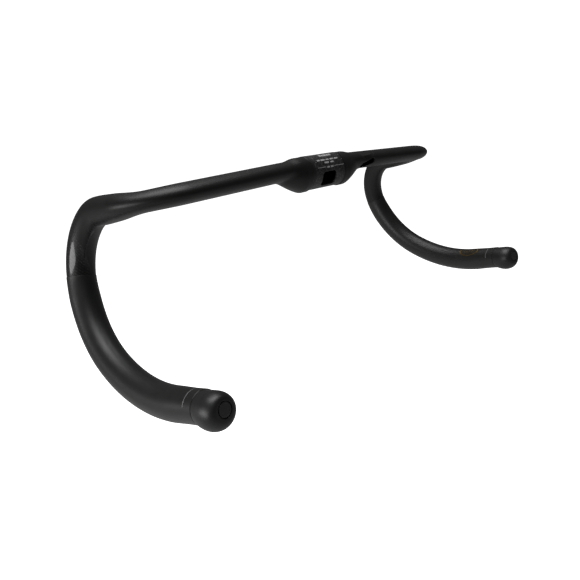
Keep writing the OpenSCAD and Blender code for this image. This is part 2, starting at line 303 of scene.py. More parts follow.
def holed_shell(name, rings_out, rings_in, along, opening, patch, side=1, marks=None):
    """Hollow tube with one rounded hole. patch is (first ring, last ring, first column, last
    column) of the region of quads that the hole's own loops replace."""
    rings_out = np.array(rings_out)
    rings_in = np.array(rings_in)
    n, m, _ = rings_out.shape
    i0, i1, j0, j1 = patch
    skip = {(i, j) for i in range(i0, i1) for j in range(j0, j1)}
    points = list(rings_out.reshape(-1, 3)) + list(rings_in.reshape(-1, 3))
    faces = []
    uvs = []

    def add(quad, coords):
        faces.append(quad)
        uvs.extend(coords)

    for shell in (0, 1):
        base = shell * n * m
        for i, j in ring_faces(n, m, skip):
            q = (j + 1) % m
            add(
                tuple(base + k for k in (i * m + j, i * m + q, (i + 1) * m + q, (i + 1) * m + j)),
                [(along[i] * MM, j / m), (along[i] * MM, (j + 1) / m),
                 (along[i + 1] * MM, (j + 1) / m), (along[i + 1] * MM, j / m)],
            )
    for i in (0, n - 1):
        for j in range(m):
            q = (j + 1) % m
            a, b = i * m + j, i * m + q
            u = along[i] * MM
            add((a, b, b + n * m, a + n * m), [(u, j / m), (u, (j + 1) / m)] * 2)

    border = [(i, j0) for i in range(i0, i1)]
    border += [(i1, j) for j in range(j0, j1)]
    border += [(i, j1) for i in range(i1, i0, -1)]
    border += [(i0, j) for j in range(j1, j0, -1)]
    count = len(border)
    previous = [i * m + j % m for i, j in border]
    for share, grow, depth in RIM_LOOPS:
        loop = []
        for i, j in border:
            inner = depth >= WALL and share < 1
            shell = rings_in if inner else rings_out
            start = opening.project(shell[i, j % m])
            rim = opening.edge(start, grow)
            loop.append(len(points))
            points.append(opening.lift(mix(start, rim, share), depth))
        for k in range(count):
            q = (k + 1) % count
            quad = (previous[k], previous[q], loop[q], loop[k])
            (ia, ja), (ib, jb) = border[k], border[q]
            ua, ub = along[ia] * MM, along[ib] * MM
            add(quad, [(ua, ja / m), (ub, jb / m), (ub, jb / m), (ua, ja / m)])
        previous = loop
    closing = [n * m + i * m + j % m for i, j in border]
    for k in range(count):
        q = (k + 1) % count
        (ia, ja), (ib, jb) = border[k], border[q]
        ua, ub = along[ia] * MM, along[ib] * MM
        add((previous[k], previous[q], closing[q], closing[k]),
            [(ua, ja / m), (ub, jb / m), (ub, jb / m), (ua, ja / m)])
    used = sorted({v for f in faces for v in f})
    index = {v: k for k, v in enumerate(used)}
    faces = [tuple(index[v] for v in f) for f in faces]
    kept = [points[v] for v in used]
    values = {}
    for mark, function in (marks or {}).items():
        values[mark] = [function(v, n * m) for v in used]
    return mesh_object(name, kept, faces, uvs, side, values)


# ---------------------------------------------------------------- clamp section
AROUND = 128


def clamp_ring(x, radius):
    turns = np.linspace(0, 2 * math.pi, AROUND, endpoint=False)
    return np.stack([np.full(AROUND, x), radius * np.cos(turns), radius * np.sin(turns)], 1)


# The window faces rearwards and down. Its plane's axes are x and "across".
window_out = np.array([0, -math.cos(WINDOW_ANGLE), -math.sin(WINDOW_ANGLE)])
window_across = np.array([0, -math.sin(WINDOW_ANGLE), math.cos(WINDOW_ANGLE)])


def window_project(point):
    return np.array([point[0], point @ window_across])


def window_lift(plane, depth):
    radius = CLAMP_R - depth
    out = math.sqrt(radius * radius - plane[1] ** 2)
    return np.array([plane[0], 0, 0]) + out * window_out + plane[1] * window_across


def clamp_shell():
    edge = 0.35
    xs = [-CLAMP_HALF, -CLAMP_HALF + edge]
    xs += list(np.linspace(-CLAMP_HALF + 1.5, CLAMP_HALF - 1.5, 41))
    xs += [CLAMP_HALF - edge, CLAMP_HALF]
    outer = [clamp_ring(x, CLAMP_R) for x in xs]
    outer[0] = clamp_ring(xs[0], CLAMP_R - edge)
    outer[-1] = clamp_ring(xs[-1], CLAMP_R - edge)
    inner = [clamp_ring(x, CLAMP_R - WALL) for x in xs]
    middle = round((math.pi + WINDOW_ANGLE) / (2 * math.pi) * AROUND)
    reach = 14
    first = next(i for i, x in enumerate(xs) if x > -WINDOW_W / 2 - 3.5)
    last = len(xs) - 1 - first
    window = Opening(
        (0, 0), WINDOW_W, WINDOW_H, WINDOW_CORNER, 0, window_project, window_lift
    )
    return holed_shell(
        "clamp_shell", outer, inner, xs, window, (first, last, middle - reach, middle + reach)
    )


# ---------------------------------------------------------------- tops
# The round body beside the clamp stands proud of the wing, and dies into it further out.
BODY_R = 16.15
BODY_Z = -0.65
BODY_FULL = 28.6
BODY_END = 56.4
BODY_TOP_FULL = 31
BODY_TOP_END = 55
BODY_TOP_LOW = 8.5
BODY_POWER = 1.2
VALLEY = 2.4
SETTLE_FROM = 38
SETTLE_LEN = 20
RAYS = 120
ray_turns = np.linspace(0, 2 * math.pi, RAYS, endpoint=False)


def wing_half(x):
    """Half sizes of the wing's oval at x: along the chord, and across it."""
    outward = max(0, (x - BLEND_END) / (TOP_END - BLEND_END))
    return np.array([
        mix(CHORD_INNER, CHORD_OUTER, outward) / 2,
        mix(THICK_INNER, THICK_OUTER, outward) / 2,
    ])


def ray_circle(origin, rays, centre, radius):
    """How far each ray from origin runs to the circle. Rays that miss give zero."""
    offset = origin - centre
    b = rays @ offset
    gap = b * b - (offset @ offset - radius * radius)
    return np.where(gap > 0, -b + np.sqrt(np.maximum(gap, 0)), 0)


def top_ring(x, inset=0.0):
    """Section of the top at x, in the y-z plane: the wing's oval and the round body, merged."""
    centre = top_centre(x)[1:]
    half = wing_half(x) - inset
    fore = np.array([math.cos(TOP_PITCH), -math.sin(TOP_PITCH)])
    up = np.array([math.sin(TOP_PITCH), math.cos(TOP_PITCH)])
    lip = smooth((x - CLAMP_HALF) / 1.2)
    body_r = mix(CLAMP_R, BODY_R, lip)
    body_z = BODY_Z * lip
    sink = np.clip((x - BODY_FULL) / (BODY_END - BODY_FULL), 0, 1) ** BODY_POWER
    low = mix(body_z - body_r, centre[1] - half[1] + 1, sink)
    crest = smooth((x - BODY_TOP_FULL) / (BODY_TOP_END - BODY_TOP_FULL))
    high = mix(body_z + body_r, BODY_TOP_LOW, crest)
    radius = (high - low) / 2 - inset
    body = np.array([0, (high + low) / 2])
    settled = smooth((x - SETTLE_FROM) / SETTLE_LEN)
    origin = mix(body, centre, settled)
    spread = mix(np.array([1.0, 1.0]), half / half[0], settled)
    rays = np.outer(np.cos(ray_turns) * spread[0], fore)
    rays += np.outer(np.sin(ray_turns) * spread[1], up)
    rays /= np.linalg.norm(rays, axis=1)[:, None]
    scaled_origin = np.array([(origin - centre) @ fore / half[0], (origin - centre) @ up / half[1]])
    scaled_rays = np.stack([rays @ fore / half[0], rays @ up / half[1]], 1)
    a = (scaled_rays ** 2).sum(1)
    b = scaled_rays @ scaled_origin
    c = scaled_origin @ scaled_origin - 1
    gap = b * b - a * c
    to_wing = np.where(gap > 0, (-b + np.sqrt(np.maximum(gap, 0))) / a, 0)
    to_body = ray_circle(origin, rays, body, max(radius, 0.1)) if x < BODY_END else 0 * to_wing
    near = np.maximum(VALLEY - np.abs(to_wing - to_body), 0) / VALLEY
    reach = np.maximum(to_wing, to_body) + near ** 2 * VALLEY / 4 * (x < BODY_END)
    section = origin + rays * reach[:, None]
    return np.column_stack([np.full(RAYS, x), section])


def oval_ring(centre, heading, half, inset=0.0):
    """Oval ring across a heading, pitched as the wing is."""
    flat = unit(np.cross([0, 0, 1], heading))
    rise = np.cross(heading, flat)
    fore = flat * math.cos(TOP_PITCH) - rise * math.sin(TOP_PITCH)
    up = flat * math.sin(TOP_PITCH) + rise * math.cos(TOP_PITCH)
    return (
        centre
        + np.outer(np.cos(ray_turns), fore) * (half[0] - inset)
        + np.outer(np.sin(ray_turns), up) * (half[1] - inset)
    )


def corner_half(s):
    """Half sizes from the wing's end (s = 0) to the lever zone's tube (s past the ramp)."""
    knots = np.array([-20, 0, CORNER_LEN / 2, CORNER_LEN, CORNER_LEN + RAMP_LEN, CORNER_LEN + 45])
    wing = wing_half(TOP_END)
    chord = np.array([wing[0], wing[0], 14.2, 12.8, LEVER_R, LEVER_R])
    thick = np.array([wing[1], wing[1], 8.3, 10.8, LEVER_R, LEVER_R])
    return np.array([hermite(s, knots, chord), hermite(s, knots, thick)])


def hermite(t, knots, values):
    """Monotone cubic through the knots."""
    steps = np.diff(values) / np.diff(knots)
    slopes = np.zeros(len(knots))
    for k in range(1, len(knots) - 1):
        if steps[k - 1] * steps[k] > 0:
            slopes[k] = 2 * steps[k - 1] * steps[k] / (steps[k - 1] + steps[k])
    k = int(np.clip(np.searchsorted(knots, t) - 1, 0, len(knots) - 2))
    h = knots[k + 1] - knots[k]
    q = (t - knots[k]) / h
    return (
        (2 * q ** 3 - 3 * q ** 2 + 1) * values[k]
        + (q ** 3 - 2 * q ** 2 + q) * h * slopes[k]
        + (3 * q ** 2 - 2 * q ** 3) * values[k + 1]
        + (q ** 3 - q ** 2) * h * slopes[k + 1]
    )


def top_stations():
    """(place along the path, ring function of inset) for each station."""
    stations = []
    lead = [CLAMP_HALF, CLAMP_HALF + 0.15, CLAMP_HALF + 0.4, CLAMP_HALF + 0.8, CLAMP_HALF + 1.3]
    xs = lead + list(np.arange(CLAMP_HALF + 2, BODY_END + 6, 0.7))
    xs += list(np.linspace(xs[-1] + 1.5, TOP_END, 55))
    for x in xs:
        stations.append((x, lambda inset, x=x: top_ring(x, inset)))
    steps = 34
    for k in range(1, steps + 1):
        a = corner_a * k / steps
        arc = corner_r * a
        stations.append((TOP_END + arc, lambda inset, a=a, arc=arc: oval_ring(
            corner_point(a), corner_heading(a), corner_half(arc), inset)))
    steps = 20
    for k in range(1, steps + 1):
        run = RAMP_LEN * k / steps
        stations.append((TOP_END + CORNER_LEN + run, lambda inset, run=run: oval_ring(
            ramp_start + run * ramp_dir, ramp_dir, corner_half(CORNER_LEN + run), inset)))
    steps = 12
    for k in range(1, steps + 1):
        s = BEND1_LEN * k / steps
        place = TOP_END + CORNER_LEN + RAMP_LEN + s
        stations.append((place, lambda inset, s=s: hook_oval(s, inset)))
    return stations


def hook_oval(s, inset):
    centre, along, _ = hook_frame(s)
    return oval_ring(centre, along, np.array([LEVER_R, LEVER_R]), inset)


HOOK_PLACE = TOP_END + CORNER_LEN + RAMP_LEN


def slot_lift_from(rings, xs):
    """Surface point of the wing's rear face at (x, z), from its own rings."""
    rear = slice(int(RAYS * 0.27), int(RAYS * 0.74))

    def lift(plane, depth):
        x, z = plane
        k = int(np.clip(np.searchsorted(xs, x) - 1, 0, len(xs) - 2))
        share = (x - xs[k]) / (xs[k + 1] - xs[k])
        ys = []
        for ring in (rings(k, depth), rings(k + 1, depth)):
            part = ring[rear]
            ys.append(np.interp(-z, -part[:, 2], part[:, 1]))
        return np.array([x, mix(ys[0], ys[1], share), z])

    return lift


# ---------------------------------------------------------------- gloss zone on the hook
GLOSS_FROM = 4
MARK_LIMIT = 4.0
SEAM_ANGLE = math.radians(110)
# Outline of the bare gloss carbon: (arc length past the ramp, angle from the bend's inside).
GLOSS_OUTLINE = (
    (RING_S + 3, -22), (67.5, -18), (60.5, -5), (53, 6), (45, 8), (37.5, 7), (27.5, 5), (18.5, 2),
    (17.5, 28.5), (27.5, 16), (37.5, 13.5), (48, 13), (33, 54), (12.5, 106), (9, 150), (9, 215),
    (RING_S + 3, 235),
)


def signed_distance(point, outline):
    """Distance to a closed outline in the plane, positive inside."""
    inside = False
    nearest = 1e9
    n = len(outline)
    for k in range(n):
        a = outline[k]
        b = outline[(k + 1) % n]
        edge = b - a
        t = np.clip((point - a) @ edge / (edge @ edge), 0, 1)
        nearest = min(nearest, np.linalg.norm(point - a - t * edge))
        if (a[1] > point[1]) != (b[1] > point[1]):
            cross = a[0] + (point[1] - a[1]) / (b[1] - a[1]) * (b[0] - a[0])
            inside ^= point[0] < cross
    return nearest if inside else -nearest


gloss_outline = [np.array([s, math.radians(a) * LEVER_R]) for s, a in GLOSS_OUTLINE]


def gloss_mark(s, angle):
    """How far inside the gloss zone a point of the hook lies, in mm."""
    if s < GLOSS_FROM:
        return -MARK_LIMIT
    angle = (angle + SEAM_ANGLE) % (2 * math.pi) - SEAM_ANGLE
    point = np.array([s, angle * LEVER_R])
    return float(np.clip(signed_distance(point, gloss_outline), -MARK_LIMIT, MARK_LIMIT))


def hook_angle(point, s):
    """Angle of a surface point round the hook, from the bend's inside towards outboard."""
    centre, _, inward = hook_frame(s)
    offset = point - centre
    return math.atan2(offset @ hook_normal, offset @ inward)


def top_shell(name, side, slotted):
    stations = top_stations()
    places = [p for p, _ in stations]
    outer = np.array([ring(0.0) for _, ring in stations])
    inner = np.array([ring(WALL) for _, ring in stations])
    n = len(stations)
    flat_marks = []
    for place, ring in zip(places, outer):
        s = place - HOOK_PLACE
        if s < GLOSS_FROM:
            flat_marks += [-MARK_LIMIT] * RAYS
        else:
            flat_marks += [gloss_mark(s, hook_angle(p, s)) for p in ring]
    if not slotted:
        rings = list(outer) + list(inner[::-1])
        along = places + places[::-1]
        marks = {"gloss": flat_marks + [-MARK_LIMIT] * (n * RAYS)}
        return loft(name, rings, along, side, marks=marks)
    xs = np.array([p for p in places if p <= TOP_END])
    lift = slot_lift_from(lambda k, depth: top_ring(xs[k], depth), xs)
    opening = Opening(
        (SLOT_X, SLOT_Z), SLOT_LEN, SLOT_W, SLOT_W / 2 - 0.01, SLOT_TILT,
        lambda point: np.array([point[0], point[2]]), lift,
    )
    first = int(np.searchsorted(xs, SLOT_X - SLOT_LEN / 2 - PATCH_MARGIN))
    last = int(np.searchsorted(xs, SLOT_X + SLOT_LEN / 2 + PATCH_MARGIN))
    middle = RAYS // 2
    reach = int(RAYS * 0.205)

    def mark(v, skin):
        return flat_marks[v] if v < skin else -MARK_LIMIT

    return holed_shell(
        name, outer, inner, places, opening, (first, last, middle - reach, middle + reach),
        side, {"gloss": mark},
    )


# ---------------------------------------------------------------- hooks and drops
TUBE_SIDES = 112
tube_turns = np.linspace(0, 2 * math.pi, TUBE_SIDES, endpoint=False)


def hook_ring(s, radius):
    centre, _, inward = hook_frame(s)
    return (
        centre
        + radius * np.outer(np.cos(tube_turns), inward)
        + radius * np.outer(np.sin(tube_turns), hook_normal)
    )


def tube_shell(name, side, outer, inner, marked=False):
    """Hollow tube on the hook's path from (arc length, radius) stations."""
    stations = list(outer) + list(inner)[::-1]
    rings = [hook_ring(s, r) for s, r in stations]
    marks = {}
    if marked:
        values = []
        for k, (s, _) in enumerate(stations):
            for turn in tube_turns:
                values.append(gloss_mark(s, turn) if k < len(outer) else -MARK_LIMIT)
        marks["gloss"] = values
    return loft(name, rings, [s for s, _ in stations], side, marks=marks)


def lever_shell(name, side):
    places = np.linspace(BEND1_LEN, RING_S, 64)
    outer = [(s, LEVER_R) for s in places]
    inner = [(s, LEVER_R - WALL) for s in places]
    return tube_shell(name, side, outer, inner, marked=True)


def drop_radius(s):
    """The paint starts in a small step, the tube swells after it, and tapers at the end."""
    swell = smooth((s - RING_S) / SWELL_LEN)
    taper = smooth((s - END_S + TAPER_LEAD) / TAPER_LEN)
    return mix(LEVER_R + 0.28, DROP_R, swell) - (DROP_R - END_R) * taper


def drop_shell(name, side):
    step = 0.22
    places = [RING_S + step] + list(np.arange(RING_S + 1, MOUTH_S - 1, 1.6)) + [MOUTH_S - 0.4]
    outer = [(RING_S, LEVER_R + 0.08)]
    outer += [(s, drop_radius(s)) for s in places]
    outer += [(MOUTH_S, END_R - 0.35)]
    bore_start = END_S + 2
    inner = [(MOUTH_S, PLUG_BORE_R), (bore_start, PLUG_BORE_R)]
    inner += [(s, PLUG_BORE_R + 0.15) for s in np.arange(END_S, RING_S, -3)]
    inner += [(RING_S, PLUG_BORE_R + 0.15)]
    return tube_shell(name, side, outer, inner[::-1])


# ---------------------------------------------------------------- end plugs
mouth_centre, mouth_out, mouth_inward = hook_frame(MOUTH_S)
mouth_down = -mouth_inward
LATHE_SIDES = 96
lathe_turns = np.linspace(0, 2 * math.pi, LATHE_SIDES, endpoint=False)


def lathe_ring(z, radius, drop=0.0):
    """Ring at height z out of the mouth, its centre dropped below the tube's axis."""
    return (
        mouth_centre + z * mouth_out + drop * mouth_down
        + radius * np.outer(np.cos(lathe_turns), hook_normal)
        + radius * np.outer(np.sin(lathe_turns), mouth_down)
    )


def rounded_corner(before, corner, after, radius, steps=4):
    """Points of a fillet at a profile's corner, each (z, radius)."""
    before, corner, after = (np.array(p, float) for p in (before, corner, after))
    a = corner + unit(before - corner) * radius
    b = corner + unit(after - corner) * radius
    return [
        tuple((1 - t) ** 2 * a + 2 * t * (1 - t) * corner + t * t * b)
        for t in np.linspace(0, 1, steps + 1)
    ]


def plug_head(name, side):
    """Dome on a spigot. The dome sits a little low on the tube, and its tip has a recess."""
    seat = 0.1
    foot_r = END_R - 0.15
    rim_drop = 0.5
    rim_r = RECESS_R + rim_drop + 0.8
    floor = HEAD_LEN - RECESS_DEPTH
    profile = [(-SPIGOT_LEN, BOLT_HOLE_R, 0), (-SPIGOT_LEN, SPIGOT_R - 0.5, 0)]
    profile += [(-SPIGOT_LEN + 0.5, SPIGOT_R, 0), (seat - 0.02, SPIGOT_R, 0)]
    profile += [(seat, foot_r - 0.4, 0.25), (seat + 0.15, foot_r, 0.3)]
    # The skirt flares to the belly in a soft curve, and sinks below the axis as it does.
    for t in np.linspace(0.1, 1, 12):
        z = mix(seat + 0.15, BELLY_Z, t)
        flare = math.sin(t * math.pi / 2) ** 0.85
        profile.append((z, mix(foot_r, HEAD_R, flare), mix(0.3, HEAD_DROP, flare)))
    for a in np.radians(np.arange(4, 88, 4)):
        profile.append((
            mix(BELLY_Z, HEAD_LEN, math.sin(a)), mix(rim_r, HEAD_R, math.cos(a)),
            mix(rim_drop, HEAD_DROP, math.cos(a)),
        ))
    profile += [(HEAD_LEN, rim_r, rim_drop), (HEAD_LEN, RECESS_R + 0.45, rim_drop * 0.3)]
    for z, r in rounded_corner(
        (HEAD_LEN, RECESS_R + 1), (HEAD_LEN, RECESS_R), (HEAD_LEN - 1, RECESS_R), 0.35
    ):
        profile.append((z, r, 0))
    profile += [(floor, RECESS_R, 0), (floor, BOLT_HOLE_R, 0)]
    rings = [lathe_ring(z, r, d) for z, r, d in profile]
    along = [z for z, _, _ in profile]
    return loft(name, rings, along, side)


def tip_cap(name, side):
    """Flat disc with a soft edge, on the wider ring that grips the recess."""
    top = HEAD_LEN
    profile = [(top - 2.4, 2.0), (top - 2.4, RECESS_R - 0.25), (top - 2.2, RECESS_R - 0.05)]
    profile += [(top - 1.3, RECESS_R - 0.05), (top - 1.2, RECESS_R - 0.15), (top - 1.2, TIP_R)]
    profile += rounded_corner((top - 1, TIP_R), (top, TIP_R), (top, TIP_R - 1), 0.45)
    profile += [(top, TIP_R - 1.2), (top - 0.12, TIP_R - 1.35), (top - 0.12, TIP_R - 2.6)]
    profile += [(top - 0.12, 1.0)]
    rings = [lathe_ring(z, r) for z, r in profile]
    return loft(name, rings, [z for z, _ in profile], side, closed=False)


# ---------------------------------------------------------------- markings
def cylinder_patch(x, turn, lift):
    """Point on the clamp's surface at x and angle, lifted by some mm."""
    radius = CLAMP_R + lift
    return np.array([x, radius * math.cos(turn), radius * math.sin(turn)])


PRINT_SINK = -0.03
PRINT_RISE = 0.05


def raised_patches(name, patches, place, steps=(6, 3)):
    """Thin closed plates on a surface. Each patch is four (a, b) corners in turn."""
    points = []
    faces = []
    nu, nv = steps
    for corners in patches:
        corners = np.array(corners, float)
        base = len(points)
        for lift in (PRINT_SINK, PRINT_RISE):
            for i in range(nu + 1):
                for j in range(nv + 1):
                    a = mix(corners[0], corners[1], i / nu)
                    b = mix(corners[3], corners[2], i / nu)
                    points.append(place(*mix(a, b, j / nv), lift))
        layer = (nu + 1) * (nv + 1)

        def at(i, j, level):
            return base + level * layer + i * (nv + 1) + j

        for i in range(nu):
            for j in range(nv):
                for level in (0, 1):
                    faces.append((at(i, j, level), at(i + 1, j, level),
                                  at(i + 1, j + 1, level), at(i, j + 1, level)))
        for i in range(nu):
            for j in (0, nv):
                faces.append((at(i, j, 0), at(i + 1, j, 0), at(i + 1, j, 1), at(i, j, 1)))
        for j in range(nv):
            for i in (0, nu):
                faces.append((at(i, j, 0), at(i, j + 1, 0), at(i, j + 1, 1), at(i, j, 1)))
    return mesh_object(name, points, faces, sharp=30)


def bar_corners(a0, a1, b0, b1):
    return [(a0, b0), (a1, b0), (a1, b1), (a0, b1)]


LABEL_LEFT = -15.8
LABEL_RIGHT = 19.8
LABEL_LOW = math.radians(97)
LABEL_HIGH = math.radians(162.5)
LABEL_LINE = 0.45
TICK_SPREAD = 1.22
# Rows of the label: (angle, start, end, height, width of each tick).
LABEL_ROWS = (
    (112, -5.2, 10.4, 3.0, (3.2, 2.2, 3.2, 3.2, 2.2)),
    (135, -12.8, 15.0, 1.5, (2.6, 3.8, 3.0, 3.4, 3.2)),
    (146.5, -4.8, 7.5, 1.5, (3.0, 2.4)),
    (162.5, -3.4, 5.2, 1.5, (1.6, 1.8)),
)
# The label's upper line stops on both sides of its last row.
LABEL_BREAK = (-4.6, 6.4)


def clamp_label():
    """A plain printed panel on the clamp: a thin frame, and rows of ticks in place of words."""
    rise = LABEL_LINE / CLAMP_R
    left, right, low, high = LABEL_LEFT, LABEL_RIGHT, LABEL_LOW, LABEL_HIGH
    patches = [
        bar_corners(left, right, low, low + rise),
        bar_corners(left, left + LABEL_LINE, low, high),
        bar_corners(right - LABEL_LINE, right, low, high),
        bar_corners(left, LABEL_BREAK[0], high - rise, high),
        bar_corners(LABEL_BREAK[1], right, high - rise, high),
    ]
    for angle, start, end, tall, ticks in LABEL_ROWS:
        middle = math.radians(angle)
        half = tall / 2 / CLAMP_R
        scale = (end - start) / (sum(ticks) * TICK_SPREAD)
        gap = (end - start) * (1 - 1 / TICK_SPREAD) / (len(ticks) - 1)
        x = start
        for tick in ticks:
            patches.append(bar_corners(x, x + tick * scale, middle - half, middle + half))
            x += tick * scale + gap
    return raised_patches("clamp_label", patches, cylinder_patch)


def hook_surface(s, turn, lift, side=1):
    centre, _, inward = hook_frame(s)
    radius = drop_radius(s) + lift
    point = centre + radius * (math.cos(turn) * inward + math.sin(turn) * hook_normal)
    return np.array([point[0] * side, point[1], point[2]])


CUT_MARK_BACK = 8.5
CUT_MARK_HALF = 0.28
CUT_MARK_ARC = (math.radians(-66), math.radians(79))
CUT_MARK_STEPS = 8


def cut_mark(name, side):
    """Thin printed arc that shows where the end may be cut, over the upper half of the tube."""
    s = MOUTH_S - CUT_MARK_BACK
    patches = []
    for k in range(CUT_MARK_STEPS):
        a = mix(*CUT_MARK_ARC, k / CUT_MARK_STEPS)
        b = mix(*CUT_MARK_ARC, (k + 1) / CUT_MARK_STEPS)
        patches.append(bar_corners(s - CUT_MARK_HALF, s + CUT_MARK_HALF, a, b))
    return raised_patches(
        name, patches, lambda s, turn, lift: hook_surface(s, turn, lift, side), steps=(1, 4)
    )


BADGE_S = 254
BADGE_LEN = 30
BADGE_WIDTH = 15
BADGE_RISE = 0.08
BADGE_TURN = math.radians(-14)


def badge_spot(share, a):
    """Place on the drop of a badge point at a share of its oval's size, at angle a."""
    return (
        BADGE_S + share * BADGE_LEN / 2 * math.cos(a),
        BADGE_TURN + share * BADGE_WIDTH / 2 * math.sin(a) / DROP_R,
    )


def badge_plate(name):
    """Oval plate on the right drop, drawn over the tube's inner side."""
    rings = [(share, BADGE_RISE) for share in (0.02, 0.35, 0.7, 0.92, 1.0)]
    rings.append((1.0, -0.05))
    sides = 48
    points = []
    for share, rise in rings:
        for k in range(sides):
            points.append(hook_surface(*badge_spot(share, 2 * math.pi * k / sides), rise))
    rings = np.array(points).reshape(len(rings), sides, 3)
    return loft(name, rings, [0] * len(rings), closed=False)


def badge_ornament(name):
    """Gold rim and rays on the badge, a plain pattern with no lettering."""
    patches = []
    count = 40
    for k in range(count):
        a0, a1 = (2 * math.pi * (k + d) / count for d in (0, 1))
        corners = ((0.93, a0), (0.93, a1), (0.84, a1), (0.84, a0))
        patches.append([badge_spot(share, a) for share, a in corners])
    for k in range(-2, 3):
        s = BADGE_S + k * 2.7
        tall = (2.1 - 0.35 * abs(k)) / DROP_R
        slant = 0.9
        patches.append([
            (s - 0.7 - slant, BADGE_TURN - tall), (s + 0.5 - slant, BADGE_TURN - tall),
            (s + 0.5 + slant, BADGE_TURN + tall), (s - 0.7 + slant, BADGE_TURN + tall),
        ])
    return raised_patches(
        name, patches, lambda s, turn, lift: hook_surface(s, turn, lift + 0.1), steps=(1, 1)
    )


# ---------------------------------------------------------------- materials
class Paint:
    """One node material. Its methods add a node and return its output socket."""

    def __init__(self, name, **fixed):
        self.material = bpy.data.materials.new(name)
        self.material.use_nodes = True
        self.tree = self.material.node_tree
        self.shader = self.tree.nodes["Principled BSDF"]
        for socket, value in fixed.items():
            self.shader.inputs[socket.replace("_", " ")].default_value = value

    def node(self, kind, out=0, settings=None, **inputs):
        made = self.tree.nodes.new("ShaderNode" + kind)
        for key, value in (settings or {}).items():
            setattr(made, key, value)
        for key, value in inputs.items():
            key = key.replace("_", " ") if not key.startswith("n") else int(key[1:])
            if isinstance(value, bpy.types.NodeSocket):
                self.tree.links.new(value, made.inputs[key])
            else:
                made.inputs[key].default_value = value
        return made.outputs[out]

    def math(self, operation, a, b=0.0):
        return self.node("Math", settings={"operation": operation}, n0=a, n1=b)

    def place(self):
        """The point in the part's own frame, in metres."""
        return self.node("TexCoord", out=3)

    def path(self):
        """The Path map: metres along the tube, and turns round it."""
        return self.node("UVMap", settings={"uv_map": "Path"})

    def noise(self, scale, detail=3.0, rough=0.55, vector=None):
        return self.node(
            "TexNoise", Vector=vector or self.place(), Scale=scale, Detail=detail, Roughness=rough
        )

    def remap(self, value, low, high, to_low=0.0, to_high=1.0):
        return self.node("MapRange", n0=value, n1=low, n2=high, n3=to_low, n4=to_high)

    def blend(self, share, a, b):
        """Mix of two colours, or of two colour sockets."""
        return self.node(
            "Mix", out=2, settings={"data_type": "RGBA"}, n0=share, n6=a, n7=b
        )

    def levels(self, share, a, b):
        """Mix of two numbers, or of two number sockets."""
        return self.node("Mix", out=0, settings={"data_type": "FLOAT"}, n0=share, n2=a, n3=b)

    def bump(self, height, strength, distance, normal=None):
        extra = {"Normal": normal} if normal is not None else {}
        return self.node("Bump", Height=height, Strength=strength, Distance=distance, **extra)

    def use(self, **sockets):
        for socket, value in sockets.items():
            self.tree.links.new(value, self.shader.inputs[socket.replace("_", " ")])
        return self.material


def grey(level, warmth=0.0):
    return (level * (1 + warmth), level, level * (1 - warmth), 1)


MATT_DARK = 0.0085
MATT_LIGHT = 0.0125


def matt_look(paint):
    """Colour, roughness and grain of the matt clear coat over carbon."""
    cloud = paint.noise(38, 4)
    grain = paint.noise(2600, 2)
    colour = paint.blend(
        paint.remap(cloud, 0.32, 0.68), grey(MATT_DARK, 0.02), grey(MATT_LIGHT, 0.0)
    )
    rough = paint.math("ADD", paint.remap(cloud, 0.3, 0.7, 0.40, 0.45),
                       paint.remap(grain, 0.3, 0.7, -0.025, 0.025))
    return colour, rough, grain


def twill(paint, around_mm, pitch):
    """Twill cloth on the Path map: (over or under, shade of each crossing)."""
    split = paint.node("SeparateXYZ", Vector=paint.path())
    along = split.node.outputs[0]
    round_it = split.node.outputs[1]
    a = paint.math("MULTIPLY", along, 1 / (pitch * MM))
    b = paint.math("MULTIPLY", round_it, round(around_mm / pitch))
    cell_a = paint.math("FLOOR", a)
    cell_b = paint.math("FLOOR", b)
    step = paint.math("ADD", cell_a, cell_b)
    phase = paint.math("FLOORED_MODULO", step, 4.0)
    over = paint.math("LESS_THAN", phase, 1.5)
    cell = paint.node("CombineXYZ", X=cell_a, Y=cell_b)
    shade = paint.node("TexWhiteNoise", settings={"noise_dimensions": "2D"}, Vector=cell)
    # Each tow is round across its width.
    ridge_a = paint.math("PINGPONG", a, 0.5)
    ridge_b = paint.math("PINGPONG", b, 0.5)
    ridge = paint.levels(over, ridge_a, ridge_b)
    return over, shade, ridge


def matt_carbon():
    paint = Paint("matt_carbon", Specular_IOR_Level=0.5)
    colour, rough, grain = matt_look(paint)
    return paint.use(
        Base_Color=colour, Roughness=rough, Normal=paint.bump(grain, 0.12, 0.00002)
    )


def hook_carbon():
    """Matt paint with a bare gloss carbon window, whose outline is the mesh's gloss mark."""
    paint = Paint("hook_carbon", Specular_IOR_Level=0.3, Coat_Roughness=0.06, Coat_IOR=1.42)
    colour, rough, grain = matt_look(paint)
    over, shade, ridge = twill(paint, 2 * math.pi * LEVER_R, 0.85)
    mark = paint.node("Attribute", out=2, settings={"attribute_name": "gloss"})
    inside = paint.remap(mark, -0.12, 0.12)
    glint = paint.math("POWER", shade, 3.0)
    tow = paint.blend(over, grey(0.0012), grey(0.003))
    weave = paint.blend(paint.math("MULTIPLY", glint, over), tow, grey(0.03))
    step = paint.remap(mark, -0.5, 0.5, 0.0, -1.0)
    relief = paint.math("ADD", paint.math("MULTIPLY", ridge, inside), step)
    normal = paint.bump(relief, 0.35, 0.00006, paint.bump(grain, 0.12, 0.00002))
    return paint.use(
        Base_Color=paint.blend(inside, colour, weave),
        Roughness=paint.levels(inside, rough, paint.levels(over, 0.34, 0.46)),
        Coat_Weight=paint.math("MULTIPLY", inside, 0.6),
        Normal=normal,
    )


